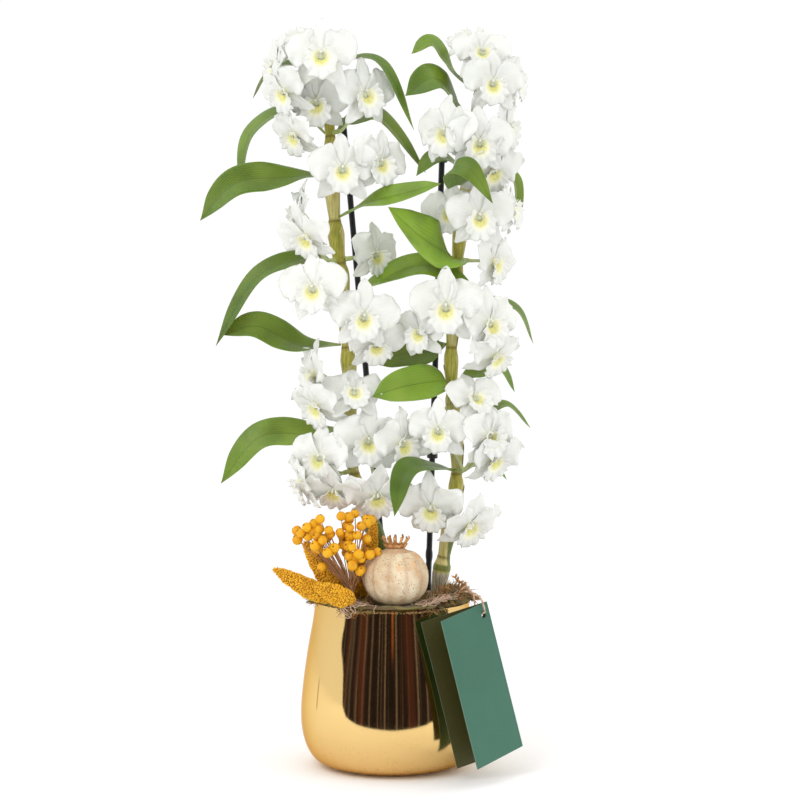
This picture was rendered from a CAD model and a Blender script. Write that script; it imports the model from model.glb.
"""Looks for the white dendrobium orchid in its gold pot.

Lengths in the tables are millimetres in the frame's own axes: origin at the centre of the pot's base, +Z
up, the front towards -Y. Every piece stands where its CAD node stands and keeps the node's form.
"""

import math
import random

import bmesh
import bpy
import numpy as np
from mathutils import Matrix, Vector
from mathutils.noise import noise


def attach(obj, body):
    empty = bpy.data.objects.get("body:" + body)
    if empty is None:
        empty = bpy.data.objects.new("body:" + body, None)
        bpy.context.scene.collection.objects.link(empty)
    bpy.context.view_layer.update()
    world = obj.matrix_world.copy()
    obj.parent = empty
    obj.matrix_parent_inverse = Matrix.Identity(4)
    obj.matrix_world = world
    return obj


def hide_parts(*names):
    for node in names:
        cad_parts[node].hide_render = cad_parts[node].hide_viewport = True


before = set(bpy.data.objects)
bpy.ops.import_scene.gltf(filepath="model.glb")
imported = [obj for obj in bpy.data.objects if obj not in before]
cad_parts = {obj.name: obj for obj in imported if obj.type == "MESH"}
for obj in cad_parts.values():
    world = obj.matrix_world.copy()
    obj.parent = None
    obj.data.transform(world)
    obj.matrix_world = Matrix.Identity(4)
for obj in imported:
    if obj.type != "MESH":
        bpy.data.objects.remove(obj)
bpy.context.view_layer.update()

MM = 0.001
# Gap between seated parts.
GAP = 0.35
SEED = 7
# Radians in a full turn, near enough for a start taken at random.
FULL_TURN = 6.28

# Camera at the photograph's angle: its place, what it looks at, its lens and sensor, and its reach in metres.
CAMERA_AT = (6.6, -1750.0, 380.0)
CAMERA_LOOKS_AT = (6.6, 0.0, 305.0)
CAMERA_LENS = 94.8
CAMERA_SENSOR = 36.0
CAMERA_CLIP = 60.0

# Light: the sky's strength; square lamps by name, place and watts, the place that they look at, and their
# side in metres; and half the floor's side.
SKY_STRENGTH = 1.03
LIGHTS = (("key", (-1100, -1500, 1900), 17.0), ("fill", (1600, -900, 1200), 6.0))
LIGHTS_AIM = (0.0, 0.0, 300.0)
LIGHT_SIZE = 1.5
FLOOR_HALF = 6000

# Pot: (radius, height) down the outer side from below the rim.
POT_SIDE = ((64.0, 136.0), (66.5, 120.0), (70.5, 98.0), (74.2, 72.0), (76.3, 48.0), (75.2, 30.0),
            (70.5, 15.0), (62.0, 5.0), (47.0, 0.0))
POT_WALL = 2.0
POT_RIM_HEIGHT = 138.0
POT_SEGMENTS = 160
POT_STEPS = 7
POT_FOOT_RADIUS = 40.0
POT_FOOT_RISE = 0.8
# Turn of the dark streak on the pot's side, in radians.
STREAK_TURN = 0.94

MOSS_TOP = 137.0
MOSS_LIP_UNDER = 138.6
MOSS_LIP_RADIUS = 68.0
# Mounds of moss: x, y, rise and spread.
MOSS_MOUNDS = ((-50, -30, 10, 17), (52, -26, 12, 18), (40, 30, 5, 22), (-35, 35, 6, 20), (0, -56, -4, 14))
MOSS_RINGS = 34
MOSS_SEGMENTS = 120
MOSS_FIBRES = 4300
FIBRE_LENGTH = (3.0, 10.0)
FIBRE_BY_POPPY = 2.0
SPRIG_FOOT = (55, -34, 147)
SPRIG_HEIGHT = 14
SPRIG_LEAVES = 26
# Places without fibres, under the dried head and at the canes: x, y and radius.
MOSS_CLEARINGS = ((3, -36, 18.0), (5, 2, 7.0), (37, 6, 9.0))

# Pale strands: centre of a tangle, its spread, how many, and whether they may hang over the rim.
TANGLES = ((-33, -52, 146, 7, 30, True), (40, -46, 150, 8, 26, False), (38, 8, 146, 8, 12, False),
           (-45, 12, 150, 14, 8, False), (18, 46, 144, 18, 8, False))
STRAND_RADIUS = (0.2, 0.36)
STRAND_STEP = 2.4
STRAND_HANG = 7.0
STRAND_REACH = 71.0

# Canes: points of the centre line, and the widest radius of the joints at heights.
CANE_FOOT = 100.0
CANE_JOINT = 35.0
LEFT_AXIS = ((8, 2, 100), (5, 2, 140), (-10, 0, 186), (-26, -1, 220), (-33, 0, 250), (-36, 2, 330),
             (-41, 4, 400), (-46, 4, 436), (-50, 4, 480), (-51, 4, 522), (-55, 5, 570))
LEFT_GIRTH = ((100, 6.0), (200, 7.5), (250, 5.6), (440, 7.0), (500, 6.0), (570, 4.2))
RIGHT_AXIS = ((34, 6, 100), (37, 6, 140), (44, 5, 178), (53, 4, 222), (54, 3, 256), (50, 2, 306),
              (49, 2, 344), (52, 3, 396), (55, 4, 430), (59, 5, 467), (65, 6, 496), (70, 7, 538),
              (72, 8, 578))
RIGHT_GIRTH = ((100, 6.5), (180, 7.2), (260, 5.6), (430, 6.2), (578, 4.2))
# Within one joint: how far along it, and the share of the girth there.
JOINT_SHAPE = ((0.0, 0.88), (0.12, 0.66), (0.8, 1.0), (1.0, 0.88))
CANE_STEP = 1.75
CANE_SIDES = 40
# Looks of the joints at heights: the left cane is dark below the first; the right one is fibrous up to the
# second, has a raised collar, and then a wedge half green and half papery.
LEFT_DARK_TOP = 232.0
RIGHT_FIBRE_TOP = 162.0
RIGHT_COLLAR = (161.5, 167.5)
RIGHT_WEDGE = (166.0, 198.0)
LEFT_SHEATHS_FROM = 236
RIGHT_SHEATHS_FROM = 196
SHEATH_ROWS = 14
SHEATH_COLUMNS = 22
SHEATH_THICKNESS = 0.28

# Stakes: foot and head of each rod.
STAKE_RADIUS = 2.5
LEFT_STAKE = ((4, 18, 40), (-41, 16, 540))
RIGHT_STAKE = ((27, 24, 40), (43, 19, 548))
CLIP_HEIGHTS = (503, 255)
CLIP_WALL = 1.8
CLIP_LENGTH = 7.0
WIRE_CLIP_HEIGHT = 214
KNOB_HEIGHT = 173
WIRE_RADIUS = 1.0
WIRE_STEPS = 80
# Half sizes of the knob on the right stake.
KNOB_HALF = (3.1, 3.1, 8.5)

LEAF_THICKNESS = 0.8
LEAF_FOLD = 0.14
LEAF_ROWS = 44
LEAF_COLUMNS = 15
# Along a leaf: how far, and the share of its width there.
LEAF_SHAPE = ((0.0, 0.16), (0.15, 0.55), (0.4, 1.0), (0.65, 0.95), (0.85, 0.66), (1.0, 0.0))
# Leaves: cane, number of the joint, points that the midrib passes after its base, width, and how far the
# blade is turned about the midrib to show its upper face, in degrees.
LEAVES = (
    ("left", 13, ((-78, 18, 583), (-101, 18, 580), (-116, 14, 556)), 16, 20),
    ("left", 12, ((-82, 20, 548), (-118, 16, 526), (-126, 10, 476)), 24, 30),
    ("left", 11, ((-86, -2, 489), (-128, -12, 484), (-157, -20, 453)), 28, 60),
    ("left", 9, ((-68, 8, 423), (-112, 2, 407), (-146, -4, 350)), 22, 40),
    ("left", 7, ((-76, 4, 350), (-112, 2, 366), (-140, -2, 359)), 28, 55),
    ("left", 5, ((-68, 4, 276), (-110, -2, 274), (-142, -6, 236)), 28, 55),
    ("left", 13, ((-38, -10, 584), (-8, -16, 580), (18, -18, 527)), 16, 20),
    ("left", 12, ((-35, 6.5, 535), (-10, 9, 540), (28, 10, 494)), 22, 40),
    ("left", 10, ((-20, -20, 467), (12, -33, 475), (40, -38, 482)), 21, 50),
    ("left", 8, ((-14, -2, 402), (30, -9, 416), (76, -18, 387)), 25, 45),
    ("right", 13, ((49, -3, 577), (33, -8, 599), (16, -10, 590)), 20, 40),
    ("right", 12, ((50, -6, 553), (34, -20, 569), (11, -26, 554)), 30, 50),
    ("right", 11, ((50, -2, 502), (36, -6, 505), (20, -10, 490)), 22, 30),
    ("right", 9, ((45, -15, 426), (22, -33, 440), (-3, -40, 463)), 44, 65),
    ("right", 7, ((36, 9, 345), (10, 13, 343), (-15, 12, 335)), 30, 60),
    ("right", 6, ((40, -13, 321), (10, -24, 317), (-16, -30, 309)), 31, 60),
    ("right", 11, ((86, 24, 498), (104, 28, 488), (106, 28, 450)), 18, 0),
    ("right", 8, ((74, 12, 388), (104, 14, 380), (118, 12, 352)), 18, 20),
    ("right", 6, ((68, 16, 325), (88, 22, 333), (103, 20, 311)), 20, 40),
    ("right", 5, ((74, 12, 290), (96, 16, 300), (116, 14, 281)), 16, 20),
    ("right", 4, ((40, -24, 250), (12, -54, 251), (2, -62, 214)), 22, 25),
    ("right", 4, ((70, 8, 250), (84, 10, 250), (96, 8, 238)), 14, 20),
    ("right", 11, ((55, -29, 482), (49, -47, 493), (65, -56, 491), (81, -56, 465)), 20, 50),
)

HUB_RADIUS = 4.2
PEDICEL_RADIUS = 1.3
PEDICEL_LEAD = 11.0
PEDICEL_SINK = 1.2
PEDICEL_STAGGER = 0.75
PEDUNCLE_LENGTH = 7.0
PEDUNCLE_RADIUS = 2.0

# Sprays: cane, number of the joint, and the blooms. A bloom is its hub's place, the way that it faces (0
# is the front, 90 the right side), how far it looks up, its roll, and its size.
SPRAYS = (
    ("left", 13, (((-57, -38, 585), 0, 12, 0, 1.05), ((-74, 6, 602), -30, 55, 0, 0.95),
                  ((-94, -8, 580), -70, 5, -10, 0.95), ((-88, -24, 558), -45, -20, 10, 0.9),
                  ((-62, -18, 550), -5, -18, 0, 1.0), ((-80, -14, 524), -45, -30, 0, 0.9))),
    ("left", 12, (((-22, -22, 556), 32, 5, 5, 1.0),)),
    ("left", 11, (((-40, -32, 494), 5, 0, 0, 1.0), ((-10, -22, 500), 35, 5, -8, 0.95))),
    ("left", 9, (((-76, -12, 459), -78, 0, 4, 0.95), ((-70, -28, 440), -40, -32, 6, 0.95))),
    ("left", 9, (((-14, 2, 426), 40, -5, 0, 0.9),)),
    ("left", 8, (((-64, -34, 397), -15, 0, 5, 1.0), ((-23, -34, 374), 10, -5, -5, 1.0),
                 ((-13, -20, 352), 18, -30, 0, 0.9))),
    ("left", 6, (((-64, -14, 328), -68, 0, 0, 0.95), ((-62, -24, 302), -45, -25, 10, 0.95),
                 ((-31, -26, 312), 10, 35, 0, 0.9))),
    ("left", 5, (((-19, -30, 273), 5, 0, 0, 1.0), ((8, -28, 271), 40, -5, 0, 1.0),
                 ((-12, -30, 228), 10, -35, 0, 1.0))),
    ("left", 4, (((-59, -26, 259), -30, -5, 0, 0.95), ((-74, -12, 238), -75, -20, 0, 0.95),
                 ((-48, -24, 232), -15, -50, 0, 0.95))),
    ("right", 13, (((67, 14, 604), -20, 62, 0, 0.9), ((74, -16, 590), 5, 30, 0, 0.9),
                   ((101, 4, 570), 72, 5, 5, 0.9), ((82, -29, 564), 8, -5, 0, 0.9))),
    ("right", 12, (((44, -30, 524), -30, 0, 0, 1.0), ((71, -36, 515), 8, -5, 0, 1.0),
                   ((94, -8, 530), 70, 0, 0, 0.95), ((83, -21, 494), 30, -35, 0, 0.95))),
    ("right", 10, (((71, -28, 456), 12, -5, 0, 1.0), ((97, 0, 464), 72, 8, 0, 0.92),
                   ((48, -5, 460), -16, 8, 0, 0.9))),
    ("right", 9, (((84, -12, 420), 60, -5, 0, 0.95),)),
    ("right", 8, (((44, -37, 382), -5, -3, 0, 1.08), ((80, -24, 369), 38, 0, 5, 1.0),
                  ((86, -12, 343), 45, -35, 0, 0.95), ((23, -22, 362), -30, -5, 0, 0.85))),
    ("right", 5, (((68, -20, 307), 30, 35, 0, 0.9),)),
    ("right", 4, (((38, -32, 281), -10, 0, 0, 0.9), ((80, -26, 277), 38, 0, 0, 0.95),
                  ((84, -18, 258), 42, -30, 0, 0.95))),
    ("right", 3, (((32, -32, 218), -10, -25, 0, 1.0), ((64, -26, 204), 35, -35, 0, 1.0))),
)

# Tepals of a bloom: direction in degrees, length, width, how far its tip bends, and whether it is one of
# the two broad petals.
TEPALS = ((90, 30.5, 20, -3, False), (230, 29.5, 19, -5, False), (310, 29.5, 19, -5, False),
          (158, 30, 33, 1.5, True), (22, 30, 33, 1.5, True))
LIP_HALF_ANGLE = 152.0
TEPAL_ROWS = 20
TEPAL_COLUMNS = 13
LIP_ROWS = 16
LIP_COLUMNS = 45
# The bloom's column: how far up and forward of the hub, and its radius there.
BLOOM_COLUMN = ((1.6, -0.5, 1.5), (2.2, 1.0, 1.2), (2.4, 2.2, 1.05), (2.2, 3.4, 1.05), (1.6, 4.2, 0.95),
                (1.1, 4.5, 0.4))

POPPY_CENTRE = (3, -36, 162.0)
POPPY_RADIUS = 27.5
POPPY_HALF = 24.0
POPPY_ROWS = 61
POPPY_SEGMENTS = 120
CROWN_RAYS = 12
CROWN_NECK = 6.0
CROWN_RADIUS = 13.0
CROWN_SEGMENTS = 52
# The crown's cup: (radius, height) from its middle over the edge to below; and a ray's section by sides.
CROWN_CUP = ((0.0, 1.2), (4.0, 1.0), (7.5, 1.6), (9.5, 3.2), (9.9, 2.9), (8.0, 0.4), (4.4, -0.6),
             (3.8, -2.4), (0.0, -2.6))
RAY_SECTION = (1.0, 0.62, 0.55, 0.62, 1.0, 0.62, 0.55, 0.62)

BERRY_RADIUS = 3.8
BUNCH_STEM_RADIUS = 2.2
BUNCH_FOOT = (-32, -30, 128)
BUNCH_FORK = (-33, -40, 156)
BERRIES = ((-74, -48, 199), (-69, -50, 204), (-68, -46, 196), (-58, -52, 211), (-59, -47, 202),
           (-51, -52, 202), (-56, -55, 194), (-62, -52, 189), (-41, -50, 213), (-35, -47, 212),
           (-42, -52, 200), (-34, -54, 204), (-25, -50, 205), (-20, -46, 207), (-34, -48, 195),
           (-28, -54, 198), (-32, -58, 189), (-46, -56, 188), (-27, -57, 183), (-25, -54, 179),
           (-18, -52, 182), (-32, -60, 174), (-52, -58, 184))

# Spikes: foot in the moss, tip, and the widest radius.
SPIKES = (((-44, -34, 142), (-96, -47, 170), 8.0), ((-34, -22, 142), (-72, -29, 190), 10.5),
          ((-31, -4, 133), (-14, -22, 206), 8.8), ((-30, -52, 144), (-62, -58, 158), 8.5))
GRAIN_SPACING = 1.75
SPIKE_HAIRS = 420

TAG_FOLD_TOP = (77.0, -46.0, 143.0)
TAG_DOWN = (0.242, 0.0, -0.970)
TAG_FRONT_RUN = (-0.635, -0.755, -0.16)
TAG_BACK_RUN = (-0.885, -0.41, -0.22)
TAG_LENGTH = 122.0
TAG_WIDTH = 60.0
TAG_THICKNESS = 0.8
TAG_FOLD_GAP = 1.2
TAG_HOLE_DOWN = 9.0
TAG_HOLE_IN = 8.0
TAG_HOLE_RADIUS = 2.5
TAG_COLUMNS = 34
TAG_ROWS = 60
TWINE_RADIUS = 0.75
TWINE_STEPS = 260
TWINE_HAIRS = 160

# A dark card in front of the pot, seen only in its mirror side: its place in Y, the distance that the turn
# of its strips is measured over, and its (half width, height) from the middle of its low edge, out and up.
CARD_AT = -195.0
CARD_SPREAD = 133.0
CARD_OUTLINE = ((0.0, 16.0), (150.0, 19.0), (250.0, 30.0), (315.0, 55.0), (352.0, 110.0), (700.0, 240.0),
                (900.0, 320.0), (900.0, 900.0))


# Small sums

def vec(*numbers):
    return np.array(numbers, float)


def smooth(x):
    x = np.clip(x, 0.0, 1.0)
    return x * x * (3 - 2 * x)


def unit(v):
    return v / np.maximum(np.linalg.norm(v, axis=-1, keepdims=True), 1e-12)


def table(rows, key, at):
    """The row of a table at a value of its key column, taken between the nearest two rows."""
    for low, high in zip(rows, rows[1:]):
        if at <= high[key]:
            share = max(0.0, (at - low[key]) / (high[key] - low[key]))
            return [a + (b - a) * share for a, b in zip(low, high)]
    return list(rows[-1])


def curve_through(points, share):
    """A point on the smooth line through some points, at a share of the way along their count."""
    place = share * (len(points) - 1)
    index = min(int(place), len(points) - 2)
    part = place - index
    before = points[index - 1] if index else points[0] * 2 - points[1]
    after = points[index + 2] if index + 2 < len(points) else points[-1] * 2 - points[-2]
    start, end = points[index], points[index + 1]
    return 0.5 * (2 * start + (end - before) * part + (2 * before - 5 * start + 4 * end - after) * part ** 2
                  + (3 * start - before - 3 * end + after) * part ** 3)


def even(count):
    """Even shares from 0 to 1, as a column."""
    return np.linspace(0, 1, count)[:, None]


def turns(count):
    """Even turns round a circle, in radians."""
    return np.arange(count) * 2 * math.pi / count


def level(turn):
    """The level direction at a turn about +Z."""
    return vec(math.cos(turn), math.sin(turn), 0)


def turned_to(aim):
    """The matrix that turns +Z to a direction."""
    return np.array(Vector((0, 0, 1)).rotation_difference(Vector(aim)).to_matrix())


def lumps(points, scale):
    """Smooth noise at each of some points, from -1 to 1."""
    return np.array([noise(Vector(point)) for point in points * scale])


def frames(points):
    """The run of a line at each of its points, and two directions square to it that don't spin."""
    run = unit(np.gradient(points, axis=0))
    first = np.cross(run[0], (0.0, 0.0, 1.0))
    if np.linalg.norm(first) < 1e-3:
        first = np.cross(run[0], (1.0, 0.0, 0.0))
    normal = [unit(first)]
    for ahead in run[1:]:
        normal.append(unit(normal[-1] - ahead * (normal[-1] @ ahead)))
    normal = np.array(normal)
    return run, normal, np.cross(run, normal)


# Forms, as arrays of points, of four-sided faces and of three-sided ones

def wrap_faces(rows, columns, closed=True):
    """Quads over a grid of points, joined round when closed."""
    a = np.arange(rows - 1)[:, None] * columns
    b = np.arange(columns if closed else columns - 1)[None, :]
    c = (b + 1) % columns
    return np.stack([a + b, a + c, a + columns + c, a + columns + b], axis=-1).reshape(-1, 4)


def capped(rings, first, last):
    """A closed form from rings of points, drawn to one point before the first ring and one after the last."""
    count, sides = rings.shape[:2]
    around = np.arange(sides)
    after = (around + 1) % sides
    low = count * sides
    top = low - sides
    foot = np.stack([np.full(sides, low), after, around], axis=-1)
    head = np.stack([np.full(sides, low + 1), top + around, top + after], axis=-1)
    return np.vstack([rings.reshape(-1, 3), first, last]), wrap_faces(count, sides), np.vstack([foot, head])


def tube(points, radii, sides):
    """A closed tube along points. Radii may be one number, one each, or one for each side of each ring."""
    points = np.asarray(points, float)
    _, normal, other = frames(points)
    turn = turns(sides)
    ring = normal[:, None] * np.cos(turn)[None, :, None] + other[:, None] * np.sin(turn)[None, :, None]
    radii = np.asarray(radii, float)
    if radii.ndim == 1:
        radii = radii[:, None]
    radii = np.broadcast_to(radii, (len(points), sides))
    return capped(points[:, None] + ring * radii[..., None], points[0], points[-1])


def shell(points, thickness):
    """A closed thin shell about a grid of points; thickness is one number or one for each point."""
    rows, columns = points.shape[:2]
    du = np.gradient(points, axis=0)
    dv = np.gradient(points, axis=1)
    normal = unit(np.cross(du, dv))
    half = np.broadcast_to(np.asarray(thickness, float) / 2, (rows, columns))[..., None]
    top = (points + normal * half).reshape(-1, 3)
    under = (points - normal * half).reshape(-1, 3)
    grid = wrap_faces(rows, columns, closed=False)
    count = rows * columns
    edge = list(range(columns)) + [r * columns + columns - 1 for r in range(1, rows)]
    edge += [(rows - 1) * columns + c for c in range(columns - 2, -1, -1)]
    edge += [r * columns for r in range(rows - 2, 0, -1)]
    edge = np.array(edge)
    after = np.roll(edge, -1)
    rim = np.stack([after, edge, edge + count, after + count], axis=-1)
    return np.vstack([top, under]), np.vstack([grid, grid[:, ::-1] + count, rim]), None


def lathe(profile, segments):
    """A closed form turned about +Z; its profile starts and ends on the axis."""
    profile = np.asarray(profile, float)
    turn = turns(segments)
    inner = profile[1:-1]
    ring = np.stack([np.cos(turn), np.sin(turn)], axis=-1)
    heights = np.repeat(inner[:, None, 1:], segments, axis=1)
    rings = np.concatenate([inner[:, None, :1] * ring[None], heights], axis=2)
    return capped(rings, (0, 0, profile[0, 1]), (0, 0, profile[-1, 1]))


def ball(rings, segments):
    """A unit ball."""
    turn = np.linspace(0, math.pi, rings + 1)
    return lathe(np.stack([np.sin(turn), np.cos(turn)], axis=-1), segments)


def moved(form, to, turned=None, scale=1.0):
    """A form scaled, turned by a matrix and moved to a place."""
    verts, quads, tris = form
    verts = verts * scale
    if turned is not None:
        verts = verts @ turned.T
    return to + verts, quads, tris


class Piece:
    """Forms gathered into one mesh, with a number at each point for each mark that its material reads."""

    def __init__(self, *marks):
        self.verts = []
        self.quads = []
        self.tris = []
        self.marks = {mark: [] for mark in marks}
        self.count = 0

    def add(self, form, **marks):
        verts, quads, tris = form
        self.verts.append(verts)
        if quads is not None:
            self.quads.append(quads + self.count)
        if tris is not None:
            self.tris.append(tris + self.count)
        for mark, values in self.marks.items():
            values.append(np.resize(marks.get(mark, 0.0), len(verts)))
        self.count += len(verts)
        return self

    def make(self, name, material, slot, nodes=()):
        verts = np.vstack(self.verts) * MM
        mesh = bpy.data.meshes.new(name)
        parts = [np.vstack(kind) for kind in (self.quads, self.tris) if kind]
        corners = np.concatenate([part.ravel() for part in parts])
        sizes = np.concatenate([np.full(len(part), part.shape[1]) for part in parts])
        mesh.vertices.add(len(verts))
        mesh.vertices.foreach_set("co", verts.astype(np.float32).ravel())
        mesh.loops.add(len(corners))
        mesh.loops.foreach_set("vertex_index", corners.astype(np.int32))
        mesh.polygons.add(len(sizes))
        mesh.polygons.foreach_set("loop_start", (np.cumsum(sizes) - sizes).astype(np.int32))
        mesh.polygons.foreach_set("use_smooth", np.ones(len(sizes), bool))
        mesh.update(calc_edges=True)
        for mark, values in self.marks.items():
            layer = mesh.attributes.new(mark, "FLOAT", "POINT")
            layer.data.foreach_set("value", np.concatenate(values).astype(np.float32))
        outward(mesh)
        obj = bpy.data.objects.new(name, mesh)
        bpy.context.scene.collection.objects.link(obj)
        obj.data.materials.append(material)
        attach(obj, "root")
        if nodes:
            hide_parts(*nodes)
        return obj


def outward(mesh):
    """Turn every closed form's faces outward, and drop points that no face uses."""
    bm = bmesh.new()
    bm.from_mesh(mesh)
    bmesh.ops.delete(bm, geom=[vert for vert in bm.verts if not vert.link_faces], context="VERTS")
    bmesh.ops.recalc_face_normals(bm, faces=bm.faces)
    bm.to_mesh(mesh)
    bm.free()


# Materials

class Finish:
    """A Principled material put together from nodes; the values given by name are constant all over."""

    def __init__(self, name, **constants):
        self.material = bpy.data.materials.new(name)
        self.material.use_nodes = True
        self.tree = self.material.node_tree
        self.shader = self.tree.nodes["Principled BSDF"]
        for socket, value in constants.items():
            socket = socket.replace("_", " ").title().replace("Ior", "IOR")
            self.shader.inputs[socket].default_value = value
        self.where = self.tree.nodes.new("ShaderNodeTexCoord").outputs["Object"]

    def fill(self, node, values):
        """Link or set a node's inputs."""
        for key, value in values.items():
            if isinstance(value, bpy.types.NodeSocket):
                self.tree.links.new(value, node.inputs[key])
            else:
                node.inputs[key].default_value = value
        return node

    def node(self, kind, inputs, **settings):
        node = self.tree.nodes.new("ShaderNode" + kind)
        for key, value in settings.items():
            setattr(node, key, value)
        return self.fill(node, inputs)

    def mark(self, name):
        return self.node("Attribute", {}, attribute_name=name).outputs["Fac"]

    def noise(self, scale, detail, stretch=None, distortion=0.0, where=None):
        where = where or self.where
        if stretch is not None:
            where = self.node("Mapping", {"Vector": where, "Scale": stretch}).outputs["Vector"]
        values = {"Vector": where, "Scale": scale, "Detail": detail, "Distortion": distortion}
        return self.node("TexNoise", values).outputs["Fac"]

    def cells(self, scale):
        return self.node("TexVoronoi", {"Vector": self.where, "Scale": scale}).outputs["Distance"]

    def between(self, value, low, high, to_low=0.0, to_high=1.0):
        values = {"Value": value, "From Min": low, "From Max": high, "To Min": to_low, "To Max": to_high}
        return self.node("MapRange", values, interpolation_type="SMOOTHSTEP").outputs["Result"]

    def math(self, operation, a, b=0.0):
        return self.node("Math", {0: a, 1: b}, operation=operation).outputs[0]

    def times(self, first, *others):
        for other in others:
            first = self.math("MULTIPLY", first, other)
        return first

    def mix(self, share, a, b):
        node = self.tree.nodes.new("ShaderNodeMix")
        node.data_type = "RGBA"
        return self.fill(node, {0: share, 6: a, 7: b}).outputs[2]

    def patches(self, colour, other, scale, detail, low, high, share, distortion=0.0):
        """Another colour over the first, in soft patches."""
        cover = self.between(self.noise(scale, detail, None, distortion), low, high, 0.0, share)
        return self.mix(cover, colour, other)

    def bump(self, height, distance, strength=1.0, under=None):
        values = {"Height": height, "Distance": distance, "Strength": strength}
        if under is not None:
            values["Normal"] = under
        return self.node("Bump", values).outputs["Normal"]

    def done(self, colour, normal=None, roughness=None):
        for socket, value in (("Base Color", colour), ("Normal", normal), ("Roughness", roughness)):
            if value is not None:
                self.tree.links.new(value, self.shader.inputs[socket])
        return self.material


def rgb(red, green, blue):
    """A colour given as it looks on a screen, 0 to 255, as the linear one that a shader takes."""
    def linear(value):
        value /= 255.0
        return value / 12.92 if value <= 0.04045 else ((value + 0.055) / 1.055) ** 2.4
    return (linear(red), linear(green), linear(blue), 1.0)


def gold_finish():
    f = Finish("gold_metal", metallic=1.0, specular_tint=rgb(224, 198, 164))
    place = f.node("SeparateXYZ", {0: f.where}).outputs
    low = f.between(place["Z"], 0.055, 0.004)
    colour = f.mix(f.noise(14.0, 2.0), rgb(236, 204, 140), rgb(224, 188, 120))
    colour = f.mix(f.times(low, 0.45), colour, rgb(228, 182, 116))
    speck = f.times(f.between(f.cells(600.0), 0.30, 0.10), f.between(f.noise(90.0, 2.0), 0.44, 0.60))
    speck = f.times(speck, f.between(place["Z"], 0.060, 0.008, 0.06, 0.75))
    colour = f.mix(speck, colour, rgb(168, 104, 44))
    turn = f.math("ARCTAN2", place["X"], f.times(place["Y"], -1.0))
    streak = f.between(f.math("ABSOLUTE", f.math("ADD", turn, STREAK_TURN)), 0.016, 0.004)
    streak = f.times(streak, f.between(place["Z"], 0.052, 0.058), f.between(place["Z"], 0.084, 0.072))
    colour = f.mix(f.times(streak, 0.6), colour, rgb(126, 84, 40))
    rough = f.between(f.noise(900.0, 2.0), 0.3, 0.8, 0.035, 0.10)
    rough = f.math("ADD", rough, f.times(low, 0.20))
    grain = f.bump(f.noise(1400.0, 2.0), 0.00004, 0.25)
    return f.done(colour, f.bump(f.noise(22.0, 1.0, (1.0, 1.0, 0.15)), 0.0012, 0.10, grain), rough)


def peat_finish():
    f = Finish("peat", roughness=0.95)
    colour = f.mix(f.between(f.noise(260.0, 5.0), 0.35, 0.65), rgb(40, 26, 18), rgb(96, 68, 44))
    return f.done(colour, f.bump(f.noise(420.0, 5.0), 0.002))


def moss_finish():
    f = Finish("moss", roughness=0.95, sheen_weight=0.15)
    tone = f.mark("tone")
    colour = f.mix(f.between(tone, 0.0, 0.3), rgb(104, 76, 40), rgb(128, 122, 52))
    for low, high, other in ((0.32, 0.55, rgb(164, 112, 58)), (0.6, 0.78, rgb(198, 142, 84)),
                             (0.84, 1.0, rgb(132, 138, 60))):
        colour = f.mix(f.between(tone, low, high), colour, other)
    colour = f.patches(colour, rgb(84, 58, 34), 420.0, 4.0, 0.4, 0.7, 0.45)
    return f.done(colour, f.bump(f.noise(900.0, 4.0), 0.0006))


def wool_finish():
    f = Finish("wood_wool", roughness=0.8)
    colour = f.mix(f.noise(160.0, 3.0), rgb(222, 196, 172), rgb(182, 146, 120))
    return f.done(colour, f.bump(f.noise(1500.0, 3.0, (1.0, 1.0, 0.3)), 0.0002))


def cane_finish():
    f = Finish("cane", roughness=0.42, subsurface_weight=0.05)
    streak = f.noise(1.0, 4.0, (900.0, 900.0, 26.0))
    green = f.mix(f.between(streak, 0.35, 0.65), rgb(158, 156, 48), rgb(198, 190, 92))
    green = f.patches(green, rgb(120, 128, 28), 60.0, 2.0, 0.45, 0.7, 0.6)
    paper = f.mix(f.between(streak, 0.3, 0.7), rgb(216, 206, 142), rgb(172, 162, 84))
    fibres = f.mix(f.between(streak, 0.3, 0.7), rgb(120, 112, 92), rgb(190, 184, 164))
    colour = f.mix(f.mark("sheath"), green, paper)
    colour = f.mix(f.times(f.mark("ring"), 0.85), colour, rgb(110, 100, 24))
    colour = f.mix(f.mark("dark"), colour, f.mix(streak, rgb(58, 82, 22), rgb(88, 108, 34)))
    colour = f.mix(f.mark("fibre"), colour, fibres)
    return f.done(colour, f.bump(streak, 0.0005, 0.7))


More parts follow.
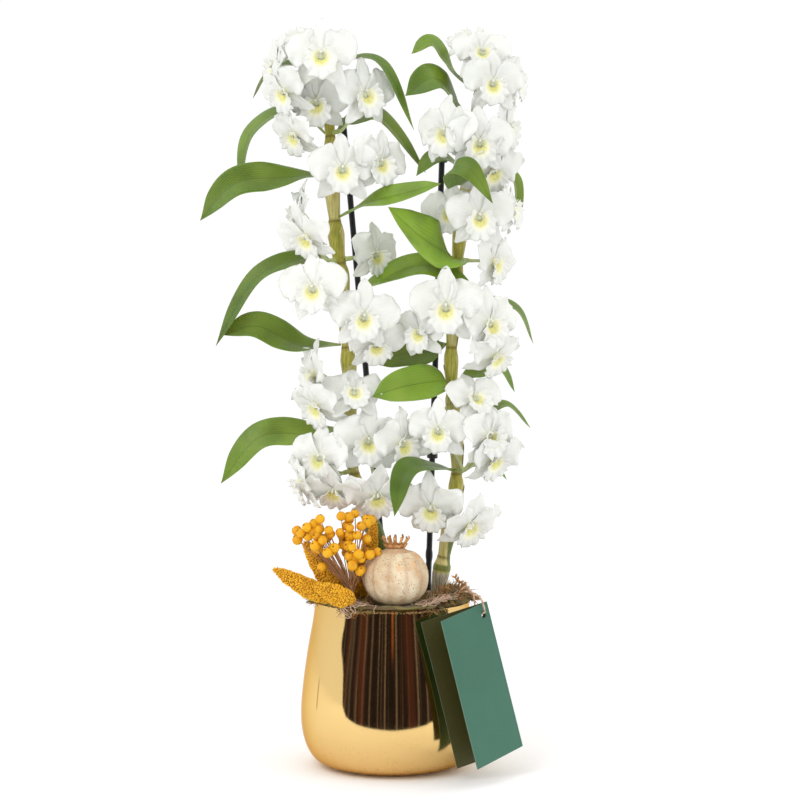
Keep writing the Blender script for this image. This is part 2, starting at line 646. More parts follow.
def leaf_finish():
    f = Finish("leaf", roughness=0.36, specular_ior_level=0.55, subsurface_weight=0.04)
    across, along = f.mark("across"), f.mark("along")
    aside = f.math("ABSOLUTE", across)
    vein = f.math("SINE", f.times(across, 44.0))
    fine = f.noise(1.0, 3.0, (700.0, 700.0, 700.0))
    colour = f.mix(f.mark("tone"), rgb(48, 86, 12), rgb(130, 168, 38))
    colour = f.patches(colour, rgb(50, 86, 12), 30.0, 3.0, 0.38, 0.7, 0.55)
    colour = f.patches(colour, rgb(140, 168, 60), 16.0, 2.0, 0.50, 0.74, 0.55)
    colour = f.mix(f.between(vein, 0.2, 1.0, 0.0, 0.14), colour, rgb(140, 170, 66))
    colour = f.mix(f.times(f.between(aside, 0.055, 0.0), 0.55), colour, rgb(46, 84, 22))
    colour = f.mix(f.between(along, 0.16, 0.0, 0.0, 0.8), colour, rgb(150, 172, 66))
    colour = f.mix(f.between(along, 0.97, 1.0, 0.0, 0.6), colour, rgb(130, 120, 50))
    colour = f.mix(f.between(aside, 0.94, 1.0, 0.0, 0.5), colour, rgb(140, 170, 70))
    normal = f.bump(f.noise(90.0, 2.0), 0.0012, 0.25, f.bump(vein, 0.00010, 0.5))
    normal = f.bump(fine, 0.00012, 0.25, normal)
    return f.done(colour, normal, f.between(fine, 0.3, 0.7, 0.30, 0.46))


def petal_finish():
    f = Finish("petal", roughness=0.55, subsurface_weight=0.22, subsurface_scale=0.003, sheen_weight=0.08,
               subsurface_radius=(1.0, 0.95, 0.8), specular_ior_level=0.3)
    throat = f.mark("throat")
    vein = f.math("SINE", f.times(f.mark("across"), 30.0))
    blotch = f.noise(420.0, 3.0)
    colour = f.mix(f.mark("tone"), rgb(222, 223, 218), rgb(233, 233, 228))
    colour = f.patches(colour, rgb(214, 217, 206), 70.0, 3.0, 0.4, 0.75, 0.45)
    colour = f.mix(f.between(vein, 0.3, 1.0, 0.0, 0.10), colour, rgb(200, 204, 192))
    yellow = f.mix(f.between(blotch, 0.35, 0.65), rgb(232, 228, 156), rgb(216, 212, 122))
    colour = f.mix(f.between(throat, 0.05, 0.6), colour, rgb(240, 238, 212))
    colour = f.mix(f.between(throat, 0.45, 1.0), colour, yellow)
    deep = f.math("ADD", throat, f.times(blotch, 0.5))
    colour = f.mix(f.between(deep, 1.30, 1.46), colour, rgb(178, 160, 72))
    green = f.mix(f.noise(120.0, 2.0), rgb(196, 206, 140), rgb(158, 172, 88))
    normal = f.bump(f.noise(260.0, 3.0), 0.0005, 0.22, f.bump(f.noise(1300.0, 2.0), 0.0001, 0.3))
    return f.done(f.mix(f.mark("stem"), colour, green), f.bump(vein, 0.00008, 0.35, normal))


def plastic_finish(name, colour, other):
    f = Finish(name, specular_ior_level=0.5)
    rough = f.between(f.noise(300.0, 2.0), 0.3, 0.7, 0.28, 0.48)
    return f.done(f.mix(f.noise(240.0, 3.0), colour, other), f.bump(f.noise(1600.0, 3.0), 0.0001, 0.4), rough)


def poppy_finish():
    f = Finish("dried_head", roughness=0.72, specular_ior_level=0.25)
    colour = f.mix(f.between(f.noise(70.0, 4.0), 0.35, 0.7), rgb(220, 203, 172), rgb(202, 176, 142))
    colour = f.patches(colour, rgb(236, 224, 198), 46.0, 5.0, 0.48, 0.62, 0.8, 0.4)
    patch = f.between(f.noise(110.0, 4.0), 0.42, 0.68, 0.0, 0.75)
    colour = f.mix(f.times(f.mark("blush"), patch), colour, rgb(222, 158, 96))
    colour = f.mix(f.times(f.mark("ridge"), 0.65), colour, rgb(180, 142, 106))
    specks = f.times(f.between(f.cells(520.0), 0.40, 0.16), f.between(f.noise(160.0, 3.0), 0.42, 0.58))
    colour = f.mix(f.times(specks, 0.75), colour, rgb(158, 116, 68))
    tan = f.mix(f.between(f.noise(300.0, 4.0), 0.35, 0.65), rgb(214, 166, 108), rgb(168, 112, 66))
    normal = f.bump(f.noise(700.0, 4.0), 0.0004, 0.6, f.bump(f.noise(120.0, 3.0), 0.0012, 0.4))
    return f.done(f.mix(f.mark("crown"), colour, tan), normal)


def berry_finish():
    f = Finish("berry", specular_ior_level=0.35, subsurface_weight=0.08)
    colour = f.mix(f.mark("tone"), rgb(232, 166, 8), rgb(212, 140, 4))
    colour = f.patches(colour, rgb(238, 184, 36), 260.0, 4.0, 0.35, 0.7, 0.55)
    colour = f.mix(f.between(f.mark("dimple"), 0.3, 1.0, 0.0, 0.8), colour, rgb(128, 80, 16))
    stalk = f.mix(f.noise(300.0, 3.0), rgb(192, 146, 108), rgb(150, 100, 60))
    rough = f.between(f.noise(400.0, 2.0), 0.3, 0.7, 0.42, 0.62)
    return f.done(f.mix(f.mark("stem"), colour, stalk), f.bump(f.noise(900.0, 4.0), 0.0003, 0.5), rough)


def grain_finish():
    f = Finish("dyed_grain", roughness=0.85, sheen_weight=0.1)
    colour = f.mix(f.mark("tone"), rgb(206, 144, 8), rgb(246, 192, 34))
    colour = f.patches(colour, rgb(222, 160, 12), 90.0, 3.0, 0.4, 0.7, 0.6)
    colour = f.mix(f.between(f.mark("deep"), 0.0, 1.0, 0.0, 0.55), colour, rgb(158, 102, 8))
    return f.done(colour, f.bump(f.noise(1500.0, 3.0), 0.0003, 0.6))


def card_finish():
    f = Finish("card", roughness=0.62)
    weave = f.noise(1800.0, 4.0)
    green = f.mix(f.between(weave, 0.3, 0.7, 0.0, 0.5), rgb(57, 107, 87), rgb(49, 97, 78))
    green = f.patches(green, rgb(64, 114, 94), 18.0, 2.0, 0.4, 0.7, 0.35)
    olive = f.mix(f.between(weave, 0.3, 0.7, 0.0, 0.6), rgb(70, 68, 16), rgb(52, 52, 12))
    colour = f.mix(f.mark("inside"), green, olive)
    colour = f.mix(f.times(f.mark("edge"), 0.8), colour, rgb(178, 200, 186))
    return f.done(colour, f.bump(weave, 0.00006, 0.5), f.between(weave, 0.3, 0.7, 0.52, 0.70))


def twine_finish():
    f = Finish("twine", roughness=0.9, sheen_weight=0.3)
    colour = f.mix(f.between(f.noise(500.0, 4.0), 0.35, 0.65), rgb(212, 180, 150), rgb(160, 118, 90))
    colour = f.patches(colour, rgb(226, 208, 182), 60.0, 2.0, 0.45, 0.65, 0.6)
    return f.done(colour, f.bump(f.noise(2400.0, 3.0), 0.0002, 0.7))


def floor_finish():
    f = Finish("floor", roughness=0.9, specular_ior_level=0.0)
    return f.done(f.mix(f.noise(3.0, 2.0), (1.0, 1.0, 1.0, 1.0), (0.99, 0.99, 0.99, 1.0)))


def flag_finish():
    """Dark card with upright strips of a little light, for the pot's mirror side."""
    f = Finish("dark_card", roughness=0.9, specular_ior_level=0.0)
    place = f.node("SeparateXYZ", {0: f.where}).outputs
    turn = f.math("ARCTAN2", place["X"], CARD_SPREAD * MM)
    spot = f.node("CombineXYZ", {0: turn, 2: place["Z"]}).outputs[0]
    strips = f.noise(1.0, 4.0, (13.0, 1.0, 0.5), where=spot)
    broad = f.noise(1.0, 2.0, (3.2, 1.0, 1.6), where=spot)
    colour = f.mix(f.between(strips, 0.50, 0.68), rgb(42, 37, 44), rgb(146, 136, 142))
    colour = f.mix(f.between(broad, 0.50, 0.66, 0.0, 0.7), colour, rgb(92, 58, 56))
    warm = f.between(f.math("ABSOLUTE", f.math("SUBTRACT", turn, 0.015)), 0.035, 0.02)
    warm = f.times(warm, f.between(strips, 0.28, 0.38), f.between(place["Z"], 0.10, 0.18))
    return f.done(f.mix(f.times(warm, 0.9), colour, rgb(226, 140, 100)))


# Stage

def aimed(name, data, at, target):
    """A camera or light at a place, looking at another."""
    obj = bpy.data.objects.new(name, data)
    obj.location = at
    obj.rotation_euler = (Vector(target) - Vector(at)).to_track_quat("-Z", "Y").to_euler()
    bpy.context.scene.collection.objects.link(obj)
    return obj


def build_stage():
    scene = bpy.context.scene
    scene.view_settings.view_transform = "Standard"
    scene.view_settings.look = "None"
    camera = bpy.data.cameras.new("camera")
    camera.lens = CAMERA_LENS
    camera.sensor_width = CAMERA_SENSOR
    camera.clip_end = CAMERA_CLIP
    scene.camera = aimed("camera", camera, Vector(CAMERA_AT) * MM, Vector(CAMERA_LOOKS_AT) * MM)
    scene.world = bpy.data.worlds.new("soft_white")
    scene.world.use_nodes = True
    sky = scene.world.node_tree.nodes["Background"].inputs
    sky["Color"].default_value = (1.0, 1.0, 1.0, 1.0)
    sky["Strength"].default_value = SKY_STRENGTH
    for name, at, power in LIGHTS:
        light = bpy.data.lights.new(name, "AREA")
        light.shape = "SQUARE"
        light.size = LIGHT_SIZE
        light.energy = power
        aimed(name, light, Vector(at) * MM, Vector(LIGHTS_AIM) * MM)
    floor = [(x * FLOOR_HALF, y * FLOOR_HALF, 0) for x, y in ((-1, -1), (1, -1), (1, 1), (-1, 1))]
    flat_stage("floor", floor, floor_finish())
    right = [(half, CARD_AT, height) for half, height in CARD_OUTLINE]
    left = [(-half, CARD_AT, height) for half, height in reversed(CARD_OUTLINE)]
    flag = flat_stage("dark_card", right + left, flag_finish())
    flag.visible_camera = False
    flag.visible_diffuse = False
    flag.visible_shadow = False
    flag.visible_transmission = False
    flag.visible_volume_scatter = False


def flat_stage(name, corners, material):
    mesh = bpy.data.meshes.new(name)
    mesh.from_pydata([tuple(Vector(corner) * MM) for corner in corners], [], [tuple(range(len(corners)))])
    obj = bpy.data.objects.new(name, mesh)
    bpy.context.scene.collection.objects.link(obj)
    obj.data.materials.append(material)
    return obj


# Pot and moss

def rounded(points, steps):
    points = [vec(*point) for point in points]
    count = (len(points) - 1) * steps
    return [tuple(curve_through(points, index / count)) for index in range(count + 1)]


def build_pot():
    side = rounded(((POT_SIDE[0][0], POT_RIM_HEIGHT),) + POT_SIDE[1:], POT_STEPS)
    outer = [point for point in side if point[1] < POT_RIM_HEIGHT - POT_WALL]
    inner = [(radius - POT_WALL, max(height, POT_WALL)) for radius, height in outer[::-1]]
    lip = POT_WALL / 2
    rim = [(POT_SIDE[0][0] - lip + math.cos(turn) * lip, POT_RIM_HEIGHT - lip + math.sin(turn) * lip)
           for turn in np.linspace(math.pi, 0.0, 9)]
    foot = [(POT_FOOT_RADIUS, 0.0), (POT_FOOT_RADIUS - 2.0, POT_FOOT_RISE), (20.0, POT_FOOT_RISE)]
    profile = [(0.0, POT_WALL)] + inner + rim + outer + foot + [(0.0, POT_FOOT_RISE)]
    Piece().add(lathe(profile, POT_SEGMENTS)).make("pot_metal", gold_finish(), "gold_metal", ["pot"])


def moss_height(x, y):
    rise = sum(up * math.exp(-((x - cx) ** 2 + (y - cy) ** 2) / (2 * spread ** 2))
               for cx, cy, up, spread in MOSS_MOUNDS)
    return MOSS_TOP + rise + 2.0 * noise(Vector((x, y, SEED)) * 0.09)


def moss_cushion():
    """The lumpy bed that the fibres stand on, with its edge laid over the pot's rim."""
    pot_inside = POT_SIDE[0][0] - POT_WALL - 1.0
    rings = np.linspace(0.0, 1.0, MOSS_RINGS)[1:] * (MOSS_LIP_RADIUS - 2.0)
    profile = [(0.0, 0.0)] + [(radius, 0.0) for radius in rings]
    profile += [(MOSS_LIP_RADIUS - 4.0, -5.0), (pot_inside, -6.0), (pot_inside, -12.0), (0.0, -12.0)]
    verts, quads, tris = lathe(profile, MOSS_SEGMENTS)
    for index, (x, y, z) in enumerate(verts):
        if z < -1.0:
            verts[index] = (x, y, MOSS_LIP_UNDER + 5.0 + z)
            continue
        radius = math.hypot(x, y)
        height = moss_height(x, y)
        if radius > 48:
            height = max(height, MOSS_LIP_UNDER + 1.5)
        fall = smooth((radius - 58.0) / 8.0)
        height = height * (1 - fall) + (MOSS_LIP_UNDER + 0.6) * fall
        height += 1.6 * noise(Vector((x, y, 3.0)) * 0.35) + 0.8 * noise(Vector((x, y, 9.0)) * 0.9)
        edge = 1.0 + 0.02 * noise(Vector((x, y, 1.0)) * 0.3)
        verts[index] = (x * edge, y * edge, height)
    return verts, quads, tris


def moss_fibre(rng, x, y, radius):
    """One bent fibre that leans outward near the rim and stands taller on the mounds."""
    ground = max(moss_height(x, y), MOSS_LIP_UNDER + 0.5)
    foot = vec(x, y, ground - 1.5 - 1.5 * smooth((radius - 56) / 10))
    out = vec(x, y, 0) / max(radius, 1.0)
    aim = vec(rng.gauss(0, 0.8), rng.gauss(0, 0.8), abs(rng.gauss(0.55, 0.35)))
    aim = unit(aim + out * (0.5 * smooth((radius - 45) / 20)))
    length = rng.uniform(*FIBRE_LENGTH)
    mound = smooth((moss_height(x, y) - MOSS_TOP - 4.0) / 6.0)
    length *= 1.0 + 0.5 * mound
    aim = unit(aim + vec(0, 0, 0.6) * mound)
    if abs(x - POPPY_CENTRE[0]) < 24.0 and y < POPPY_CENTRE[1]:
        length = min(length, FIBRE_BY_POPPY)
    bend = vec(rng.gauss(0, 1), rng.gauss(0, 1), rng.gauss(-0.3, 0.6)) * length * 0.3
    if radius > 60:
        bend[2] -= length * 0.35
    steps = even(4)
    line = foot + aim * length * steps + bend * steps ** 2
    thick = rng.uniform(0.30, 0.78) * np.array([0.9, 1.0, 0.75, 0.15])
    tone = rng.betavariate(1.2, 1.3) + 0.15 * noise(Vector(foot) * 0.05)
    return tube(line, thick, 3), np.clip(tone, 0, 1)


def build_moss():
    rng = random.Random(SEED)
    piece = Piece("tone")
    cushion = moss_cushion()
    tone = 0.15 + 0.5 * lumps(cushion[0], 0.12) + 0.15 * lumps(cushion[0], 0.6)
    piece.add(cushion, tone=np.clip(tone, 0, 0.5))
    for _ in range(MOSS_FIBRES):
        radius = math.sqrt(rng.uniform(0.0, 1.0)) * (MOSS_LIP_RADIUS - 1.0)
        if rng.random() < 0.5:
            radius = rng.uniform(50.0, MOSS_LIP_RADIUS - 1.0)
        turn = rng.uniform(-math.pi, math.pi)
        x, y = radius * math.cos(turn), radius * math.sin(turn)
        if not near_trimmings(x, y):
            fibre, tone = moss_fibre(rng, x, y, radius)
            piece.add(fibre, tone=tone)
    build_sprig(piece, rng, vec(*SPRIG_FOOT), SPRIG_HEIGHT)
    piece.make("moss_bed", moss_finish(), "moss", ["moss"])


def near_trimmings(x, y):
    """Whether a place on the moss is under the dried head or close to a cane."""
    return any(math.hypot(x - cx, y - cy) < clear for cx, cy, clear in MOSS_CLEARINGS)


def build_sprig(piece, rng, foot, height):
    """A small upright twig of moss with short leaves."""
    steps = even(8)
    line = foot + vec(0, 0, height) * steps + vec(4, 0, 0) * np.sin(steps * 4)
    piece.add(tube(line, np.linspace(0.9, 0.4, 8), 5), tone=0.75)
    for index in range(SPRIG_LEAVES):
        aim = unit(vec(rng.gauss(0, 1), rng.gauss(0, 1), 0.8))
        ends = line[1 + index % 7] + aim * 4.0 * even(3)
        piece.add(tube(ends, [0.7, 0.8, 0.1], 4), tone=0.7 + rng.uniform(-0.1, 0.1))


def strand(rng, centre, spread, hangs):
    """The points of one strand that wanders over the moss, and down over the rim where it may."""
    x, y, z = centre
    at = vec(x + rng.gauss(0, spread * 0.45), y + rng.gauss(0, spread * 0.3), z)
    heading = rng.uniform(-math.pi, math.pi)
    turn = rng.uniform(-0.35, 0.35)
    points = []
    for _ in range(rng.randint(10, 18)):
        radius = math.hypot(at[0], at[1])
        if radius < 66.5:
            ground = max(moss_height(at[0], at[1]), MOSS_LIP_UNDER + 1.0) + 1.0
            at[2] += (ground + 2.5 * rng.random() - at[2]) * 0.5
        elif hangs:
            at[2] = max(at[2] - 1.6, MOSS_LIP_UNDER - STRAND_HANG)
            heading += 0.5
        if radius > (69.5 if hangs else 64.0):
            heading += 0.6 * math.sin(math.atan2(-at[1], -at[0]) - heading)
        if radius > STRAND_REACH:
            at[:2] *= (STRAND_REACH - 0.5) / radius
        points.append(at.copy())
        turn = 0.75 * turn + rng.gauss(0, 0.42)
        heading += turn
        at = at + level(heading) * STRAND_STEP
    return points


def build_wool():
    rng = random.Random(SEED + 1)
    piece = Piece()
    for x, y, z, spread, count, hangs in TANGLES:
        for _ in range(count):
            points = strand(rng, (x, y, z), spread, hangs)
            fine = np.array([curve_through(points, share) for share in np.linspace(0, 1, len(points) * 3)])
            radius = np.full(len(fine), rng.uniform(*STRAND_RADIUS))
            radius[0] = radius[-1] = 0.12
            piece.add(tube(fine, radius, 5))
    piece.make("wood_wool", wool_finish(), "moss")


# Canes and supports

def cane_axis(side):
    return LEFT_AXIS if side == "left" else RIGHT_AXIS


def cane_centre(side, height):
    return vec(*table(cane_axis(side), 2, height))


def cane_run(side, height):
    return unit(cane_centre(side, height + 4) - cane_centre(side, height - 4))


def cane_radius(side, height):
    girth = table(LEFT_GIRTH if side == "left" else RIGHT_GIRTH, 0, height)[1]
    along = ((height - CANE_FOOT) / CANE_JOINT) % 1.0
    return girth * table(JOINT_SHAPE, 0, along)[1]


def joint_height(number):
    return CANE_FOOT + CANE_JOINT * (number + 0.12) + PEDUNCLE_RADIUS * 1.1


def soft_centre(side, height):
    """The cane's centre line with its corners eased."""
    return sum(cane_centre(side, height + step) for step in (-9, -4.5, 0, 4.5, 9)) / 5


def build_cane(side):
    top = cane_axis(side)[-1][2]
    heights = np.arange(CANE_FOOT, top + 0.1, CANE_STEP)
    turn = turns(CANE_SIDES)
    radii, ring, sheath = (np.zeros((len(heights), CANE_SIDES)) for _ in range(3))
    phase = 1.0 if side == "left" else 4.0
    for row, height in enumerate(heights):
        along = ((height - CANE_FOOT) / CANE_JOINT) % 1.0
        number = int((height - CANE_FOOT) / CANE_JOINT)
        base = sum(cane_radius(side, height + step) for step in (-2, 0, 2)) / 3
        ring[row] = math.exp(-((along - 0.10) / 0.035) ** 2)
        ridges = 1.0 + 0.022 * np.sin(turn * 9 + phase + number) + 0.012 * np.sin(turn * 17 + number * 2)
        open_edge = np.sin(turn + number * 2.1 + phase + 1.2 * along)
        torn_edge = 0.93 - along - 0.06 * np.sin(turn * 5 + number)
        sheath[row] = smooth((open_edge + 0.55) / 0.12) * smooth(torn_edge / 0.05)
        sheath[row] *= smooth((along - 0.13) / 0.03)
        radii[row] = base * ridges + 0.28 * sheath[row] + 0.35 * ring[row]
    radii[-4:] *= np.array([0.95, 0.82, 0.6, 0.3])[:, None]
    points = np.array([soft_centre(side, min(height, top)) for height in heights])
    points[:, 2] = heights
    dark, fibre = np.zeros_like(ring), np.zeros_like(ring)
    high = heights[:, None] + 0 * turn[None]
    if side == "left":
        dark = smooth((LEFT_DARK_TOP - high) / 6.0) * 0.9
        sheath = sheath * (1 - dark)
    else:
        fibre = smooth((RIGHT_FIBRE_TOP - high) / 2.0)
        collar = smooth(high - RIGHT_COLLAR[0]) * smooth(RIGHT_COLLAR[1] - high)
        wedge = smooth((high - RIGHT_WEDGE[0]) / 2.0) * smooth((RIGHT_WEDGE[1] - high) / 8.0)
        leaning = np.sin(turn[None] - 0.6 + (high - RIGHT_WEDGE[0]) * 0.03)
        green = smooth((leaning - 0.1) / 0.15)
        pale = wedge * (1 - green)
        dark = np.maximum(collar * 0.75, wedge * green * 0.85)
        sheath = np.maximum(sheath * (high > 200), pale) * (1 - collar) + pale * 0.2
        radii += 0.5 * collar + 0.5 * fibre
    marks = {"ring": ring, "sheath": sheath, "dark": dark, "fibre": fibre}
    cane = Piece(*marks)
    with_ends = {mark: np.append(values, [0, 0]) for mark, values in marks.items()}
    cane.add(tube(points, radii, CANE_SIDES), **with_ends)
    add_sheaths(cane, side)
    cane.make("cane_%s_stem" % side, cane_finish(), "cane", ["cane_" + side])


def add_sheaths(piece, side):
    """Papery sleeves that stand a little off the joints, open down one side."""
    rng = random.Random(SEED + (2 if side == "left" else 3))
    count = int((cane_axis(side)[-1][2] - CANE_FOOT) / CANE_JOINT)
    for number in range(2, count):
        low = CANE_FOOT + CANE_JOINT * (number + 0.12)
        high = low + CANE_JOINT * rng.uniform(0.62, 0.92)
        if side == "left" and high < LEFT_SHEATHS_FROM or side == "right" and low < RIGHT_SHEATHS_FROM:
            continue
        opening = rng.uniform(-math.pi, math.pi)
        span = rng.uniform(1.0, 1.9)
        if rng.random() < 0.35:
            continue
        grid = np.zeros((SHEATH_ROWS, SHEATH_COLUMNS, 3))
        for column in range(SHEATH_COLUMNS):
            v = column / (SHEATH_COLUMNS - 1) * 2 - 1
            ragged = 1.0 - 0.10 * abs(math.sin(column * 1.3 + number)) - 0.28 * v * v
            for row in range(SHEATH_ROWS):
                u = row / (SHEATH_ROWS - 1)
                height = low + (high - low) * u * ragged
                radius = cane_radius(side, height) + (0.45 + 0.5 * u * u + 0.5 * abs(v) ** 3)
                grid[row, column] = soft_centre(side, height) + radius * level(opening + v * span)
                grid[row, column, 2] = height
        piece.add(shell(grid, SHEATH_THICKNESS), sheath=0.75)


def at_height(foot, run, height):
    """The point at a height on the line from a foot."""
    return foot + run * ((height - foot[2]) / run[2])


def build_stakes():
    plastic = plastic_finish("stake_plastic", rgb(30, 36, 48), rgb(22, 26, 34))
    for side, ends in (("left", LEFT_STAKE), ("right", RIGHT_STAKE)):
        foot, head = (vec(*end) for end in ends)
        run = unit(head - foot)
        length = np.linalg.norm(head - foot)
        middle = np.arange(8.0, length - 3.0, 8.0)
        walked = np.concatenate([[0.0, 0.8, 1.6], middle, length - vec(2.4, 1.2, 0.4, 0.0)])
        radii = np.full(len(walked), STAKE_RADIUS)
        radii[:2] = (STAKE_RADIUS * 0.8, STAKE_RADIUS * 0.95)
        radii[-4:] = STAKE_RADIUS * np.array([1.0, 0.92, 0.7, 0.35])
        piece = Piece().add(tube(foot + run * walked[:, None], radii, 20))
        if side == "right":
            piece.add(moved(ball(16, 20), at_height(foot, run, KNOB_HEIGHT), scale=vec(*KNOB_HALF)))
        piece.make("stake_%s_rod" % side, plastic, "stake_plastic", ["stake_" + side])


def build_clips():
    black = plastic_finish("clip_plastic", rgb(24, 24, 27), rgb(36, 36, 38))
    foot, head = (vec(*end) for end in RIGHT_STAKE)
    run = unit(head - foot)
    inner = STAKE_RADIUS + GAP
    outer = inner + CLIP_WALL
    top = CLIP_LENGTH
    outline = [(inner, 0.6), (inner, top - 0.6), (inner + 0.5, top), (outer - 0.5, top), (outer, top - 0.6),
               (outer - 0.25, top / 2), (outer, 0.6), (outer - 0.5, 0.0), (inner + 0.5, 0.0)]
    for number, height in enumerate(CLIP_HEIGHTS, 1):
        clip = Piece().add(band(outline, 40, at_height(foot, run, height), run))
        clip.make("ring_clip_%d_band" % number, black, "clip_plastic", ["ring_clip_%d" % number])
    centre = cane_centre("left", WIRE_CLIP_HEIGHT)
    reach = cane_radius("left", WIRE_CLIP_HEIGHT) + 2 * GAP + WIRE_RADIUS
    arc = [centre + level(math.radians(turn)) * reach for turn in range(60, 331, 15)]
    line = [arc[0] + vec(10, 6, 0)] + arc + [arc[-1] + vec(6, -4, 3)]
    fine = [curve_through(line, share) for share in np.linspace(0, 1, WIRE_STEPS)]
    radii = np.full(WIRE_STEPS, WIRE_RADIUS)
    radii[0] = radii[-1] = WIRE_RADIUS * 0.6
    Piece().add(tube(fine, radii, 12)).make("wire_clip_bent", black, "clip_plastic", ["wire_clip"])


def band(outline, segments, at, run):
    """A closed ring: an outline of radius and height turned about a line."""
    first = unit(np.cross(run, (1.0, 0.0, 0.0)))
    other = np.cross(run, first)
    turn = turns(segments)[:, None]
    verts = [at + run * height + radius * (first * np.cos(turn) + other * np.sin(turn))
             for radius, height in outline]
    around = np.arange(segments)
    after = (around + 1) % segments
    last = (len(outline) - 1) * segments
    close = np.stack([last + around, last + after, after, around], axis=-1)
    return np.vstack(verts), np.vstack([wrap_faces(len(outline), segments), close]), None


# Leaves

def grow_from(side, number, toward):
    height = joint_height(number)
    centre = cane_centre(side, height)
    run = cane_run(side, height)
    out = vec(*toward) - centre
    out = unit(out - run * (out @ run))
    return centre + out * (cane_radius(side, height) + GAP), out


def leaf_width(share):
    """Share of the leaf's width, rounded between the shape's points and drawn to a tip."""
    points = [vec(*row) for row in LEAF_SHAPE]
    low = next(index for index, point in enumerate(points[1:]) if share <= point[0])
    start, end = points[low], points[low + 1]
    part = (share - start[0]) / (end[0] - start[0])
    return curve_through(points, (low + part) / (len(points) - 1))[1]


def build_leaf(number, side, joint, passes, width, roll, material):
    rng = random.Random(SEED * 31 + number)
    base, out = grow_from(side, joint, (passes[0][0], passes[0][1], joint_height(joint)))
    points = [base + out * LEAF_THICKNESS / 3] + [vec(*point) for point in passes]
    reach = points[-1] - base
    across = unit(np.cross(vec(reach[0], reach[1], 0), (0, 0, 1)))
    grid = np.zeros((LEAF_ROWS, LEAF_COLUMNS, 3))
    vs = np.linspace(-1, 1, LEAF_COLUMNS)
    aside = np.abs(vs)
    fold = LEAF_FOLD * 2 * aside ** 1.25 - 0.05 * aside ** 4 - 0.02 * (1 - np.minimum(aside / 0.12, 1.0))
    phase = rng.uniform(0, FULL_TURN)
    shares = np.linspace(0, 1, LEAF_ROWS) ** 0.94
    for row, share in enumerate(shares):
        at = curve_through(points, share)
        ahead, behind = min(share + 0.02, 1.0), max(share - 0.02, 0.0)
        run = unit(curve_through(points, ahead) - curve_through(points, behind))
        angle = math.copysign(math.radians(roll), -across[1]) * min(1.0, share * 2.0)
        turn = np.array(Matrix.Rotation(angle, 3, Vector(run)))
        side_way = turn @ unit(across - run * (across @ run))
        up = np.cross(side_way, run)
        half = width * max(leaf_width(share), 0.012) / 2
        wave = 0.07 * aside ** 2 * np.sin(share * 10 + phase + (vs > 0) * 2.0)
        slack = 1.0 + 0.03 * math.sin(share * 7 + phase)
        grid[row] = at + side_way * (vs * half * slack)[:, None] + up * ((fold + wave) * half)[:, None]
    v = vs + 0 * shares[:, None]
    u = shares[:, None] + 0 * vs
    ribs = 0.10 * np.cos(v * 22.0) * (1 - v * v) * smooth(u / 0.1) * smooth((1 - u) / 0.1)
    normal = unit(np.cross(np.gradient(grid, axis=0), np.gradient(grid, axis=1)))
    grid = grid + normal * ribs[..., None]
    thick = LEAF_THICKNESS * (1.15 - 0.75 * np.abs(v) ** 3) * (0.4 + 0.6 * smooth((1 - u) / 0.08))
    thick = thick + 0.9 * np.exp(-(v / 0.13) ** 2) * (1 - u)
    piece = Piece("across", "along", "tone")
    piece.add(shell(grid, thick), across=v, along=u, tone=rng.uniform(0.1, 0.9))
    piece.make("leaf_%02d_blade" % number, material, "leaf", ["leaf_%02d" % number])


# Blooms

def bloom_frame(azimuth, elevation, roll):
    turn = math.radians(azimuth)
    tilt = math.radians(elevation)
    facing = Vector((math.sin(turn) * math.cos(tilt), -math.cos(turn) * math.cos(tilt), math.sin(tilt)))
    top = Vector((-math.sin(turn) * math.sin(tilt), math.cos(turn) * math.sin(tilt), math.cos(tilt)))
    top = Matrix.Rotation(math.radians(roll), 3, facing) @ top
    right = top.cross(facing)
    return np.array([right, top, facing]).T


